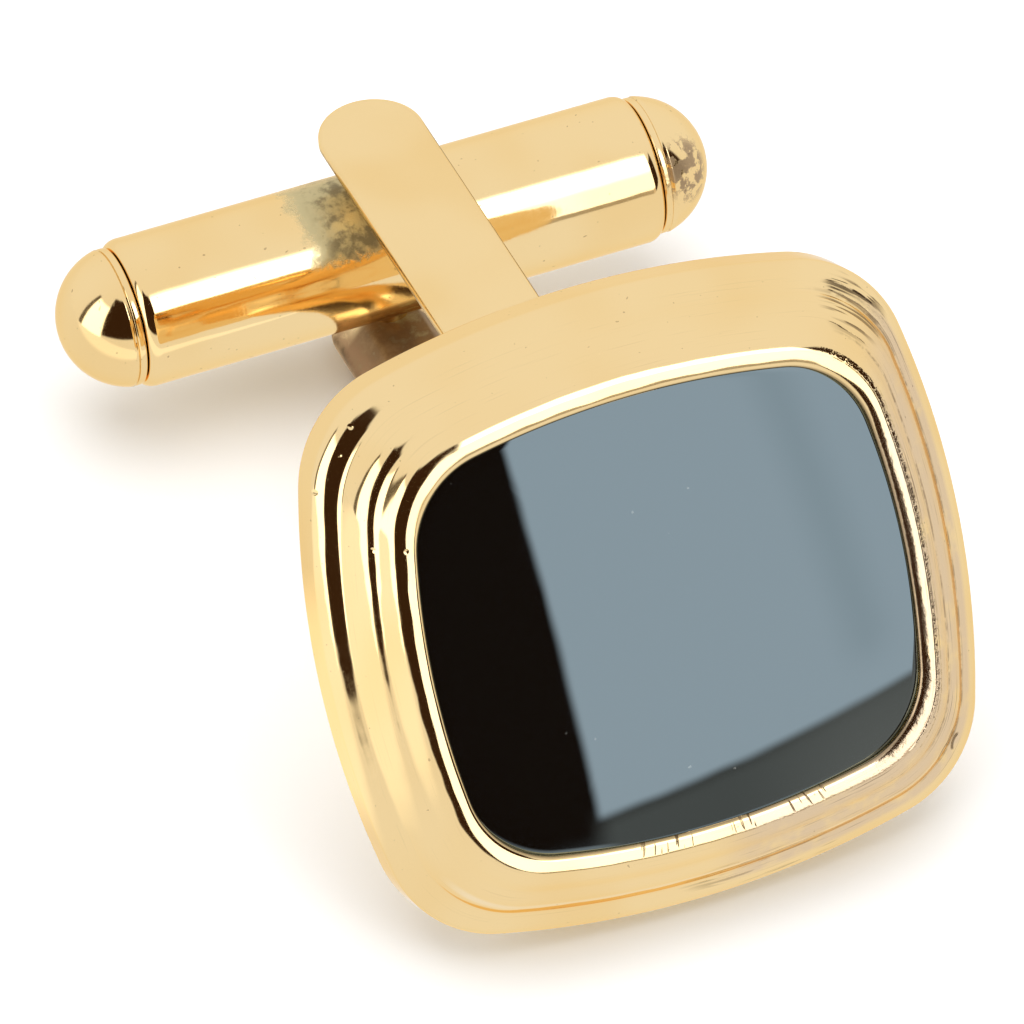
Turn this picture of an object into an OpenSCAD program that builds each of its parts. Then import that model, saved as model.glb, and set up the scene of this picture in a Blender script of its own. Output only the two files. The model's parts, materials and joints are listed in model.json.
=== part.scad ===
// Cufflink with a stepped cushion frame, a black stone and a swivelling toggle.
// It lies on a level surface, on the lower edge of its face and the end of its lower arm.
// The face looks forward along -Y and up, and the toggle lies behind it, along X.

/* [Face] */
// Width of the face over its widest step
face_w = 17.5; // [16:0.1:20]
// Height of the face over its widest step
face_h = 16.5; // [15:0.1:19]
// Radius of the bowed top and bottom sides
bow_top_r = 25.5; // [22:0.5:40]
// Radius of the bowed left and right sides
bow_side_r = 23.8; // [22:0.5:40]
// Radius of the face's corners
corner_r = 3.2; // [2.6:0.1:3.8]
// Depth of the frame from the rim of the lip to the flat back
frame_depth = 3.3; // [3:0.1:4]

/* [Stone] */
// Width of the opening that shows the stone
stone_w = 13.4; // [12.4:0.1:14]
// Height of the opening that shows the stone
stone_h = 12; // [11:0.1:12.6]
// Radius of the opening's bowed top and bottom sides
stone_top_r = 23.2; // [20:0.2:38]
// Radius of the opening's bowed left and right sides
stone_side_r = 21.7; // [20:0.2:38]
// Radius of the opening's corners
stone_corner_r = 2.55; // [2:0.05:3]
// Depth of the pocket that the stone is set in
pocket_depth = 1.6; // [1.2:0.1:1.8]
// Radius of the stone's slightly domed top
dome_r = 70; // [50:1:120]
// Height of the dome's crown above the rim of the lip
dome_rise = 0.22; // [0.1:0.01:0.3]
// Gap between the stone and the metal round it
stone_gap = 0.04; // [0.02:0.01:0.08]

/* [Fork] */
// Slant of the fork from the square of the back, towards the top of the face
slant = 25.3; // [15:0.1:32]
// Distance of the pivot from the plane of the lip's rim, along the slant
pivot_reach = 21.7; // [20:0.1:24]
// Drop of the fork's centre line below the middle of the face, in that plane
fork_drop = 2.9; // [2:0.1:4]
// Width of each arm
arm_w = 2.9; // [2.4:0.1:3.4]
// Distance past the pivot at which an arm's half-round end is centred
arm_past = 0.3; // [0:0.05:0.5]
// Thickness of each arm
arm_t = 1.3; // [1.1:0.05:1.5]
// Clear space between an arm and the barrel
arm_clear = 0.3; // [0.2:0.05:0.5]
// Thickness of the soldered foot
foot_t = 0.7; // [0.5:0.1:1]

/* [Toggle] */
// Length of the toggle over both caps
toggle_len = 18.6; // [16:0.1:20]
// Diameter of the barrel
barrel_d = 4.1; // [3.8:0.1:4.1]
// Length of each cap that shows
cap_len = 1.85; // [1.8:0.05:2.6]
// Diameter of the hidden pivot pin
pin_d = 1.2; // [1:0.1:1.4]
// Running clearance round the pin in the barrel
pin_play = 0.05; // [0.03:0.01:0.08]

/* [Hidden] */
$fn = 64;
// Sides of the large arcs, of the corner arcs and of the stone's dome.
ARC_FN = 240;
CORNER_FN = 60;
DOME_FN = 200;
// How far a cutting solid runs past what it cuts.
over = 1;

// An outline is [half width, half height, top radius, side radius, corner radius].
outer_line = [face_w / 2, face_h / 2, bow_top_r, bow_side_r, corner_r];
stone_line = [stone_w / 2, stone_h / 2, stone_top_r, stone_side_r, stone_corner_r];
function line_at(t) = outer_line + (stone_line - outer_line) * t;
function line_inset(line, d) = [for (value = line) value - d];

// Steps of the frame: share of the way in to the stone, top below the rim, shoulder radius.
STEP_IN = 0;
STEP_TOP = 1;
STEP_ROUND = 2;
STEPS = [
    [0, -1.7, 0.6],
    [0.3, -1, 0.36],
    [0.56, -0.42, 0.26],
    [0.78, 0, 0.17],
];
// How far each step's solid reaches down into the one below it.
step_sink = 0.3;
// Conical bands that round each shoulder.
SHOULDER_BANDS = 3;
// The corner arc gives way to the side arcs this far before they would meet it, in degrees.
blend_turn = 4;
// Bevel of the frame's back edge.
back_bevel = 0.3;

// Centre of an outline's corner arc, where the arcs of the two sides meet it.
function top_centre(line) = [0, line[1] - line[2]];
function side_centre(line) = [line[0] - line[3], 0];
function corner_centre(line) =
    let (a = top_centre(line), b = side_centre(line), ra = line[2] - line[4], rb = line[3] - line[4],
         span = norm(b - a), along = (ra * ra - rb * rb + span * span) / (2 * span),
         off = sqrt(ra * ra - along * along), way = (b - a) / span)
    a + along * way + off * [way[1], -way[0]];
function bearing(p) = atan2(p[1], p[0]);

// The fork's own frame: origin at the pivot, Y along the pin, Z back towards the face.
pivot_y = -fork_drop + pivot_reach * sin(slant);
pivot_z = -pivot_reach * cos(slant);
barrel_r = barrel_d / 2;
arm_in = barrel_r + arm_clear;
arm_out = arm_in + arm_t;
arm_r = arm_w / 2;
arm_end = arm_r + arm_past;
back_z = pivot_reach - frame_depth / cos(slant);
// The stem shows this much between the bend and the back, and runs on into the frame.
stem_len = 2.3;
stem_sink = 1.6;
bend_z = back_z - stem_len - arm_out;
stem_end = back_z + stem_sink;
foot_w = 6.4;
foot_l = 9;
// The pin's ends sit this deep in the arms.
pin_r = pin_d / 2;
pin_seat = 0.95;
seat_gap = 0.02;
pin_half = arm_in + pin_seat;

// The toggle along X: the barrel ends where the caps start.
barrel_half = toggle_len / 2 - cap_len;
cap_r = barrel_r - 0.1;
cap_gap = 0.04;
collar_l = 0.3;
collar_r = barrel_r - 0.04;
socket_r = barrel_r - 0.55;
socket_l = 1.2;
// How far the spigot and the dome reach into the collar between them.
cap_sink = 0.1;

// Lying pose: the lean that puts the face's lower back edge and the lower arm's end on the surface.
edge_y = -face_h / 2;
edge_z = -frame_depth + back_bevel;
tip_y = pivot_y + arm_end * sin(slant) - arm_out * cos(slant);
tip_z = pivot_z - arm_end * cos(slant) - arm_out * sin(slant);
rest_lean = atan2(tip_y - edge_y, edge_z - tip_z);
lift = -(tip_y * cos(rest_lean) + tip_z * sin(rest_lean));
pivot_back = pivot_y * sin(rest_lean) - pivot_z * cos(rest_lean);
arm_end_back = arm_end * cos(slant - rest_lean) + arm_out * sin(rest_lean - slant);
tip_back = pivot_back + max(arm_end_back, barrel_r);
lip_line = line_at(STEPS[3][STEP_IN]);
lip_front = -(lip_line[1] - STEPS[3][STEP_ROUND]) * sin(rest_lean)
    - (STEPS[3][STEP_TOP] - STEPS[3][STEP_ROUND]) * cos(rest_lean) - STEPS[3][STEP_ROUND];
middle_y = (tip_back + lip_front) / 2;

module lying() {
    translate([0, -middle_y, lift]) rotate([90 - rest_lean, 0, 0]) children();
}

module fork_frame() {
    translate([0, pivot_y, pivot_z]) rotate([slant, 0, 0]) children();
}

// A disc between two heights, with a bevelled lower edge and an upper edge rounded in conical bands.
module puck(centre, radius, low, high, round_r, bevel) {
    shoulder = [for (i = [0 : SHOULDER_BANDS])
        let (turn = 90 * i / SHOULDER_BANDS)
        [radius - round_r + round_r * cos(turn), high - round_r + round_r * sin(turn)]];
    lower = bevel > 0 ? [[radius - bevel, low], [radius, low + bevel]] : [[radius, low]];
    upper = round_r > 0 ? shoulder : [[radius, high]];
    translate([centre[0], centre[1], 0]) rotate_extrude($fn = radius > corner_r ? ARC_FN : CORNER_FN)
        polygon(concat([[0, low]], lower, upper, [[0, high]]));
}

// What the corner arc takes off the meeting of the two sides, at the corner on the +X +Y side.
module corner_cut(line, low, high, round_r, bevel) {
    corner = corner_centre(line);
    from_side = bearing(corner - side_centre(line)) + blend_turn;
    from_top = bearing(corner - top_centre(line)) - blend_turn;
    past = 2 * line[4];
    difference() {
        translate([0, 0, low - over]) linear_extrude(high - low + 2 * over) polygon([
            corner,
            corner + past * [cos(from_side), sin(from_side)],
            corner + past * [1, 1],
            corner + past * [cos(from_top), sin(from_top)],
        ]);
        puck(corner, line[4], low, high, round_r, bevel);
    }
}

// A solid with the bowed cushion outline, between two heights.
module cushion(line, low, high, round_r = 0, bevel = 0) {
    difference() {
        intersection() {
            puck(top_centre(line), line[2], low, high, round_r, bevel);
            puck(-top_centre(line), line[2], low, high, round_r, bevel);
            puck(side_centre(line), line[3], low, high, round_r, bevel);
            puck(-side_centre(line), line[3], low, high, round_r, bevel);
        }
        for (x_side = [0, 1], y_side = [0, 1]) mirror([x_side, 0, 0]) mirror([0, y_side, 0])
            corner_cut(line, low, high, round_r, bevel);
    }
}

module frame_steps() {
    for (i = [0 : len(STEPS) - 1]) {
        step = STEPS[i];
        low = i == 0 ? -frame_depth : STEPS[i - 1][STEP_TOP] - step_sink;
        cushion(line_at(step[STEP_IN]), low, step[STEP_TOP], step[STEP_ROUND], i == 0 ? back_bevel : 0);
    }
}

// Side view of the fork, seen along X: two arms, the bend that joins them and the stem under it.
module fork_side() {
    difference() {
        union() {
            translate([-arm_out, -arm_end]) square([2 * arm_out, bend_z + arm_end]);
            translate([0, bend_z]) circle(arm_out);
            translate([-arm_in, bend_z]) square([2 * arm_in, stem_end - bend_z]);
        }
        translate([-arm_in, -arm_end - over]) square([2 * arm_in, bend_z + arm_end + over]);
        translate([0, bend_z]) circle(arm_in);
    }
}

// The fork in its own frame, with half-round arm ends.
module fork() {
    intersection() {
        translate([-arm_w, 0, 0]) rotate([90, 0, 90]) linear_extrude(2 * arm_w) fork_side();
        union() {
            translate([0, 0, -arm_past]) rotate([90, 0, 0])
                cylinder(h = 2 * (arm_out + over), r = arm_r, center = true);
            translate([-arm_r, -arm_out - over, -arm_past])
                cube([arm_w, 2 * (arm_out + over), arm_past + stem_end + over]);
        }
    }
}

// Oval foot that is soldered to the flat back.
module foot() {
    foot_y = -fork_drop + frame_depth * tan(slant);
    foot_r = foot_w / 2;
    reach = (foot_l - foot_w) / 2;
    translate([0, foot_y, -frame_depth - foot_t]) {
        for (end = [-1, 1]) translate([0, end * reach, 0]) cylinder(h = foot_t + step_sink, r = foot_r);
        translate([-foot_r, -reach, 0]) cube([foot_w, 2 * reach, foot_t + step_sink]);
    }
}

module face_frame() {
    color("#E6BC7A") lying() difference() {
        union() {
            frame_steps();
            foot();
            fork_frame() fork();
        }
        cushion(stone_line, -pocket_depth, over);
        fork_frame() rotate([90, 0, 0])
            cylinder(h = 2 * (pin_half + seat_gap), r = pin_r + seat_gap, center = true);
    }
}

module stone() {
    color("#141A1C") lying() intersection() {
        cushion(line_inset(stone_line, stone_gap), -pocket_depth + stone_gap, over);
        translate([0, 0, dome_rise - dome_r]) sphere(dome_r, $fn = DOME_FN);
    }
}

module pivot_pin() {
    color("#D9B36B") lying() fork_frame() rotate([90, 0, 0])
        cylinder(h = 2 * pin_half, r = pin_r, center = true);
}

module toggle_barrel() {
    color("#E9C185") lying() fork_frame() difference() {
        rotate([0, 90, 0]) cylinder(h = 2 * barrel_half, r = barrel_r, center = true);
        rotate([90, 0, 0]) cylinder(h = barrel_d + 2 * over, r = pin_r + pin_play, center = true);
        for (side = [0, 1]) mirror([side, 0, 0]) translate([barrel_half - socket_l, 0, 0])
            rotate([0, 90, 0]) cylinder(h = socket_l + over, r = socket_r);
    }
}

// A domed cap at the +X end: a spigot in the barrel's socket, a thin collar and the dome.
module toggle_cap() {
    spigot_x = barrel_half - socket_l + cap_gap;
    collar_x = barrel_half + cap_gap;
    dome_x = collar_x + collar_l;
    rotate([0, 90, 0]) {
        translate([0, 0, spigot_x]) cylinder(h = collar_x - spigot_x + cap_sink, r = socket_r - cap_gap);
        translate([0, 0, collar_x]) cylinder(h = collar_l, r = collar_r);
        rotate_extrude() intersection() {
            translate([0, toggle_len / 2 - cap_r]) circle(cap_r);
            translate([0, dome_x - cap_sink]) square([cap_r, cap_len]);
        }
    }
}

module toggle_cap_left() {
    color("#E9C185") lying() fork_frame() mirror([1, 0, 0]) toggle_cap();
}

module toggle_cap_right() {
    color("#E9C185") lying() fork_frame() toggle_cap();
}

face_frame();
stone();
pivot_pin();
toggle_barrel();
toggle_cap_left();
toggle_cap_right();
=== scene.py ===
"""The looks of a gold cufflink with a black stone: smooth meshes, finishes, floor, light and camera."""

import json
import math

import bmesh
import bpy
from mathutils import Matrix, Vector


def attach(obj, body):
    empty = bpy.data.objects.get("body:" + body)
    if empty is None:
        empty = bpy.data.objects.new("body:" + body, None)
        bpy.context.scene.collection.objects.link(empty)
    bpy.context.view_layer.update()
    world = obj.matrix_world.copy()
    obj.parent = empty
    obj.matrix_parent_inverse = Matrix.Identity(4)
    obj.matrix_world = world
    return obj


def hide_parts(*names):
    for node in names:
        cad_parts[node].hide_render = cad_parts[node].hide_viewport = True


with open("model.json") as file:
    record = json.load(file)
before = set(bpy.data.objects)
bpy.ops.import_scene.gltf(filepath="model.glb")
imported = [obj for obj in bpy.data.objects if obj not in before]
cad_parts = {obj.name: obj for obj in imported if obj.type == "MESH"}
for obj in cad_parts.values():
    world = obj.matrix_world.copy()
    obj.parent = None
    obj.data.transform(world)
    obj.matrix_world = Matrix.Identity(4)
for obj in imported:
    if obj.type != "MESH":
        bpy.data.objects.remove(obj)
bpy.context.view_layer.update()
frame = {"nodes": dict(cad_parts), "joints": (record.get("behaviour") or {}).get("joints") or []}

# Lengths below are in millimetres, in a piece's own frame. MM turns them into metres.
MM = 0.001

# Face: an outline is (half width, half height, top radius, side radius, corner radius).
OUTER_LINE = (8.75, 8.25, 25.5, 23.8, 3.2)
STONE_LINE = (6.7, 6.0, 23.2, 21.7, 2.55)
FRAME_DEPTH = 3.3
BACK_BEVEL = 0.3
POCKET_DEPTH = 1.6
DOME_RADIUS = 70.0
DOME_RISE = 0.22
STONE_GAP = 0.04

# Section of the frame from the stone outward, in runs: length of the run, then the surface's tilt away from
# the face at its start and its end, in degrees. Each tier is a steep bank below a shallower shoulder.
SECTION = (
    (0.16, -62, -8),   # rounded inner edge of the lip
    (0.22, -8, 3),     # lip
    (0.27, 3, 38),     # outer shoulder of the lip
    (0.20, 38, 53),    # bank of the upper tier
    (0.22, 53, 56),
    (0.20, 56, 38),
    (0.08, 38, 32),    # shoulder of the middle tier
    (0.08, 32, 38),
    (0.28, 38, 56),    # bank of the middle tier
    (0.16, 56, 62),
    (0.36, 62, 68),
    (0.18, 68, 38),
    (0.08, 38, 31),    # shoulder of the lower tier
    (0.20, 31, 31),
    (0.08, 31, 38),
    (0.24, 38, 55),    # bank of the lower tier, which then rounds over into the upright side
    (0.08, 55, 62),
)
LIP_OVERHANG = 0.16
LIP_RISE = -0.015
LIP_CLEAR = 0.012
FRAME_WIDTH = OUTER_LINE[0] - STONE_LINE[0]

# Fork and toggle. The fork's middle line leaves the plane of the face FORK_DROP below its centre, slants up
# by SLANT, and meets the pivot after PIVOT_REACH. Each arm's half-round end starts ARM_PAST the pivot.
SLANT = math.radians(25.3)
PIVOT_REACH = 21.7
FORK_DROP = 2.9
ARM_RADIUS = 1.45
ARM_PAST = 0.3
ARM_THICK = 1.3
BARREL_RADIUS = 2.05
ARM_CLEAR = 0.3
STEM_LENGTH = 2.3
STEM_SINK = 1.6
FOOT_WIDTH = 6.4
FOOT_LENGTH = 9.0
FOOT_THICK = 0.7
TOGGLE_LENGTH = 18.6
CAP_LENGTH = 1.85
CAP_SHOULDER = 0.1
CAP_GAP = 0.04
SOCKET_LENGTH = 1.2
BARREL_WALL = 0.55

ARM_IN = BARREL_RADIUS + ARM_CLEAR
ARM_OUT = ARM_IN + ARM_THICK
ARM_MIDDLE = ARM_IN + ARM_THICK / 2
BACK_Z = PIVOT_REACH - FRAME_DEPTH / math.cos(SLANT)
BEND_Z = BACK_Z - STEM_LENGTH - ARM_OUT
BARREL_HALF = TOGGLE_LENGTH / 2 - CAP_LENGTH
CAP_RADIUS = BARREL_RADIUS - CAP_SHOULDER
SOCKET_RADIUS = BARREL_RADIUS - BARREL_WALL

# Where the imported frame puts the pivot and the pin's direction gives the places of the face and the fork.
joint = frame["joints"][0]
pivot = Vector(joint["pos_m"])
pin_way = Vector(joint["axis"]).normalized()
lean = SLANT + math.atan2(pin_way.y, pin_way.z)
face_turn = Matrix.Rotation(math.pi / 2 - lean, 4, "X")
pivot_in_face = Vector((0, -FORK_DROP + PIVOT_REACH * math.sin(SLANT), -PIVOT_REACH * math.cos(SLANT))) * MM
FACE_PLACE = Matrix.Translation(pivot - face_turn @ pivot_in_face) @ face_turn
FORK_PLACE = FACE_PLACE @ Matrix.Translation(pivot_in_face) @ Matrix.Rotation(SLANT, 4, "X")

# Camera and floor, in metres and degrees, and the lens in millimetres. Azimuth 0 looks along +Y and grows as
# the camera moves towards +X.
VIEW_AZIMUTH = -21.9
VIEW_ELEVATION = 45.49
VIEW_ROLL = -0.42
VIEW_DISTANCE = 0.3587
VIEW_AIM = Vector((-1.0, -1.037, 4.765)) * MM
VIEW_LENS = 480.0
VIEW_CLIP = (0.01, 20.0)
FLOOR_SIZE = 4.0


# Meshes

# Points closer than this are one, in metres.
SAME_POINT = 1e-8
# A radius below this is a point on the axis, in millimetres.
ON_AXIS = 1e-6


def new_piece(name, mesh, place, body, slot, material, *stands_for):
    """An object that rides on a body, at a place, and stands for CAD nodes.

    Its points keep their millimetres before the placing as the attribute "place", which the materials read.
    """
    store = mesh.attributes.new("place", "FLOAT_VECTOR", "POINT")
    for v, item in zip(mesh.vertices, store.data):
        item.vector = v.co / MM
    mesh.transform(place)
    piece = bpy.data.objects.new(name, mesh)
    bpy.context.scene.collection.objects.link(piece)
    mesh.materials.append(material)
    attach(piece, body)
    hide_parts(*stands_for)


def plain_mesh(name, bm):
    """A mesh from a bmesh."""
    mesh = bpy.data.meshes.new(name)
    bm.to_mesh(mesh)
    bm.free()
    return mesh


def finish_mesh(name, bm):
    """A smooth-shaded mesh from a bmesh, with its normals outward."""
    bmesh.ops.remove_doubles(bm, verts=bm.verts, dist=SAME_POINT)
    bmesh.ops.recalc_face_normals(bm, faces=bm.faces)
    for face in bm.faces:
        face.smooth = True
    return plain_mesh(name, bm)


def loft(name, rings, **values):
    """A closed solid through closed rings of points, in millimetres. A ring of one point ends it in a fan.

    Each further argument gives every ring a number, stored on its points as an attribute of that name.
    """
    bm = bmesh.new()
    layers = [(bm.verts.layers.float.new(word), numbers) for word, numbers in values.items()]
    uv = bm.loops.layers.uv.new("along")
    count = max(len(ring) for ring in rings)
    rows = []
    for k, ring in enumerate(rings):
        row = [bm.verts.new(Vector(p) * MM) for p in ring]
        for v in row:
            for layer, numbers in layers:
                v[layer] = numbers[k]
        rows.append(row)
    across = [0.0]
    for a, b in zip(rings, rings[1:]):
        across.append(across[-1] + (Vector(a[0]) - Vector(b[0])).length)
    around = [0.0]
    widest = rings[len(rings) // 2]
    for i in range(count):
        step = Vector(widest[i % len(widest)]) - Vector(widest[(i + 1) % len(widest)])
        around.append(around[-1] + step.length)
    for k in range(len(rows) - 1):
        low, high = rows[k], rows[k + 1]
        for i in range(count):
            j = (i + 1) % count
            corners = [(low, i, k, i), (low, j, k, i + 1), (high, j, k + 1, i + 1), (high, i, k + 1, i)]
            if len(low) == 1:
                corners = [(low, 0, k, i), corners[2], corners[3]]
            elif len(high) == 1:
                corners = [corners[0], corners[1], (high, 0, k + 1, i)]
            face = bm.faces.new([row[n] for row, n, _, _ in corners])
            for loop, (_, _, r, a) in zip(face.loops, corners):
                loop[uv].uv = (around[a], across[r])
    for row in (rows[0], rows[-1]):
        if len(row) > 1:
            bm.faces.new(row)
    return finish_mesh(name, bm)


def lathe(name, profile, sides):
    """A solid of revolution about X through (x, radius) points."""
    turns = [2 * math.pi * i / sides for i in range(sides)]
    rings = []
    for x, radius in profile:
        if radius < ON_AXIS:
            rings.append([(x, 0, 0)])
        else:
            rings.append([(x, radius * math.cos(a), radius * math.sin(a)) for a in turns])
    return loft(name, rings)


def spread(low, high, steps):
    """Evenly spread values from low to high, both ends included."""
    return [low + (high - low) * i / steps for i in range(steps + 1)]


# Outline of the face

SIDE_STEPS = 26
CORNER_STEPS = 34
TOP_STEPS = 26


def line_at(share):
    """The outline a share of the way from the outer line to the stone's opening."""
    return tuple(a + (b - a) * share for a, b in zip(OUTER_LINE, STONE_LINE))


def inset(line, distance):
    """The outline moved inward by a distance."""
    return tuple(value - distance for value in line)


def corner_of(line):
    """Centre of the corner arc on the +X +Y side, and the turns where the side and top arcs meet it."""
    half_w, half_h, top_r, side_r, corner_r = line
    top = Vector((0, half_h - top_r))
    side = Vector((half_w - side_r, 0))
    reach_top, reach_side = top_r - corner_r, side_r - corner_r
    way = side - top
    span = way.length
    way.normalize()
    along = (reach_top ** 2 - reach_side ** 2 + span ** 2) / (2 * span)
    off = math.sqrt(reach_top ** 2 - along ** 2)
    centre = top + along * way + off * Vector((way.y, -way.x))
    if centre.x < 0:
        centre = top + along * way - off * Vector((way.y, -way.x))
    from_side, from_top = centre - side, centre - top
    return centre, math.atan2(from_side.y, from_side.x), math.atan2(from_top.y, from_top.x)


def outline(line, z):
    """Points round the bowed cushion, anticlockwise from the middle of the +X side."""
    half_w, half_h, top_r, side_r, corner_r = line
    centre, side_turn, top_turn = corner_of(line)
    arcs = (
        (Vector((half_w - side_r, 0)), side_r, 0, side_turn, SIDE_STEPS),
        (centre, corner_r, side_turn, top_turn, CORNER_STEPS),
        (Vector((0, half_h - top_r)), top_r, top_turn, math.pi / 2, TOP_STEPS),
    )
    quarter = []
    for middle, radius, start, end, steps in arcs:
        for turn in spread(start, end, steps)[:-1]:
            quarter.append((middle.x + radius * math.cos(turn), middle.y + radius * math.sin(turn)))
    top = (0, half_h)
    right_half = quarter + [top]
    left_half = [(-x, y) for x, y in reversed(quarter)]
    upper = right_half + left_half
    lower = [(x, -y) for x, y in reversed(upper[1:-1])]
    return [(x, y, z) for x, y in upper + lower]


# The stepped frame

RUN_STEP = 0.018
LEAST_RUN_STEPS = 3
ROUND_STEPS = 16
SIDE_RINGS = 10
# A bank is steeper than this, in degrees, and a shoulder is shallower.
BANK_TILT = 45
# How far beside a bank's foot its mark fades.
FOOT_FADE = 0.05
BEVEL_EASE = 0.04
# Rings of the flat back and of the pocket's floor, as distances in from their edges.
BACK_INSETS = (2.8, 1.0)
POCKET_INSETS = (0.0, 2.0)
# Underside of the lip: distance out from the opening, and depth below the stone's dome.
LIP_UNDERSIDE = ((-LIP_OVERHANG, -LIP_CLEAR), (-0.05, 0.02), (0.0, 0.16))


def section_points():
    """The frame's section down to its upright side, as (distance out from the opening, height, tilt)."""
    x, z = -LIP_OVERHANG, LIP_RISE
    points = [(x, z, SECTION[0][1])]
    last_tilt = SECTION[-1][2]

    def walk(length, start, end, steps):
        nonlocal x, z
        for i in range(steps):
            tilt = start + (end - start) * (i + 0.5) / steps
            x += math.cos(math.radians(tilt)) * length / steps
            z -= math.sin(math.radians(tilt)) * length / steps
            points.append((x, z, start + (end - start) * (i + 1) / steps))

    for length, start, end in SECTION:
        walk(length, start, end, max(LEAST_RUN_STEPS, round(length / RUN_STEP)))
    round_radius = (FRAME_WIDTH - x) / (1 - math.sin(math.radians(last_tilt)))
    walk(round_radius * math.radians(90 - last_tilt), last_tilt, 90, ROUND_STEPS)
    return points


def section_feet():
    """Distances out from the opening at which a bank ends and the next shoulder starts."""
    points = section_points()
    return [inner[0] for inner, outer in zip(points, points[1:]) if inner[2] >= BANK_TILT > outer[2]]


def frame_mesh():
    """The stepped frame: flat bevelled back, upright side, tiers, lip, and the pocket under the stone."""
    back = -FRAME_DEPTH
    rings = [outline(inset(OUTER_LINE, inward), back) for inward in BACK_INSETS]
    turned = BEVEL_EASE * math.sqrt(0.5)
    for inward, rise in ((BACK_BEVEL + 2 * BEVEL_EASE, 0), (BACK_BEVEL + BEVEL_EASE, 0),
                         (BACK_BEVEL - turned, turned), (BACK_BEVEL / 2, BACK_BEVEL / 2),
                         (turned, BACK_BEVEL - turned), (0, BACK_BEVEL + BEVEL_EASE),
                         (0, BACK_BEVEL + 2 * BEVEL_EASE)):
        rings.append(outline(inset(OUTER_LINE, inward), back + rise))
    section = section_points()
    rim = section[-1][1]
    heights = spread(back + BACK_BEVEL + 2 * BEVEL_EASE, rim, SIDE_RINGS)[1:-1]
    rings += [outline(OUTER_LINE, z) for z in heights]
    across = [0.0] * len(rings)
    foot = [0.0] * len(rings)
    feet = section_feet()
    for x, z, _ in reversed(section):
        rings.append(outline(line_at(1 - x / FRAME_WIDTH), z))
        across.append((FRAME_WIDTH - x) / FRAME_WIDTH)
        foot.append(max(0.0, 1 - min(abs(x - f) for f in feet) / FOOT_FADE))
    for out, drop in LIP_UNDERSIDE:
        edge = outline(line_at(1 - out / FRAME_WIDTH), 0)
        rings.append([(x, y, dome_height(x, y) - drop) for x, y, _ in edge])
    rings += [outline(inset(STONE_LINE, inward), -POCKET_DEPTH) for inward in POCKET_INSETS]
    across += [0.0] * (len(rings) - len(across))
    foot += [0.0] * (len(rings) - len(foot))
    return loft("face_frame_metal", rings, across=across, foot=foot)


# The stone

STONE_RINGS = 36
STONE_EDGE_ROUND = 0.12
STONE_ROUND_STEPS = 6


def dome_height(x, y):
    """Height of the stone's dome above a point of the face."""
    return DOME_RISE - DOME_RADIUS + math.sqrt(DOME_RADIUS ** 2 - x * x - y * y)


def stone_mesh():
    """The domed stone with its eased edge and flat underside."""
    line = inset(STONE_LINE, STONE_GAP)
    bottom = -POCKET_DEPTH + STONE_GAP
    rings = [[(0, 0, bottom)], outline(line, bottom)]
    for turn in spread(0, math.pi / 2, STONE_ROUND_STEPS):
        edge = outline(inset(line, STONE_EDGE_ROUND * (1 - math.cos(turn))), 0)
        drop = STONE_EDGE_ROUND * (1 - math.sin(turn))
        rings.append([(x, y, dome_height(x, y) - drop) for x, y, _ in edge])
    edge = outline(inset(line, STONE_EDGE_ROUND), 0)
    for k in range(1, STONE_RINGS):
        size = 1 - k / STONE_RINGS
        rings.append([(x * size, y * size, dome_height(x * size, y * size)) for x, y, _ in edge])
    rings.append([(0, 0, dome_height(0, 0))])
    return loft("stone_dome", rings)


# The fork

# The arm is a strap with upright rounded edges, bevelled away below them towards the barrel.
ARM_EDGE_ROUND = 0.2
ARM_EDGE_HEIGHT = 0.45
ARM_INNER_HALF = 0.85
ARM_INNER_ROUND = 0.15
# Easing of the corner between the bevel and the upright edge: along the bevel, and up and down.
BEVEL_CORNER_IN = 0.04
BEVEL_CORNER_UP = 0.03
ARM_DOME = 0.05
DOME_SHARES = (0.75, 0.5, 0.25, 0.0)
EDGE_STEPS = 8
END_STEPS = 40
BEND_STEPS = 56
ARM_STEPS = 24
# Points of an arm and of its half-round end that are closer than this are one, in metres.
SAME_END_POINT = 1e-7


def arm_edge():
    """Half of the arm's cross-section, as (distance from its centre line, height across its thickness)."""
    half = ARM_THICK / 2
    points = [(0.0, -half), (ARM_INNER_HALF - ARM_INNER_ROUND, -half)]
    points.append((ARM_INNER_HALF, -half + ARM_INNER_ROUND))
    points.append((ARM_RADIUS - BEVEL_CORNER_IN, half - ARM_EDGE_HEIGHT - BEVEL_CORNER_UP))
    points.append((ARM_RADIUS, half - ARM_EDGE_HEIGHT + BEVEL_CORNER_UP))
    flat = ARM_RADIUS - ARM_EDGE_ROUND
    corner = half - ARM_DOME - ARM_EDGE_ROUND
    for turn in spread(0, math.pi / 2, EDGE_STEPS):
        points.append((flat + ARM_EDGE_ROUND * math.cos(turn), corner + ARM_EDGE_ROUND * math.sin(turn)))
    for share in DOME_SHARES:
        points.append((flat * share, half - ARM_DOME * share ** 2))
    return points


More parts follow.
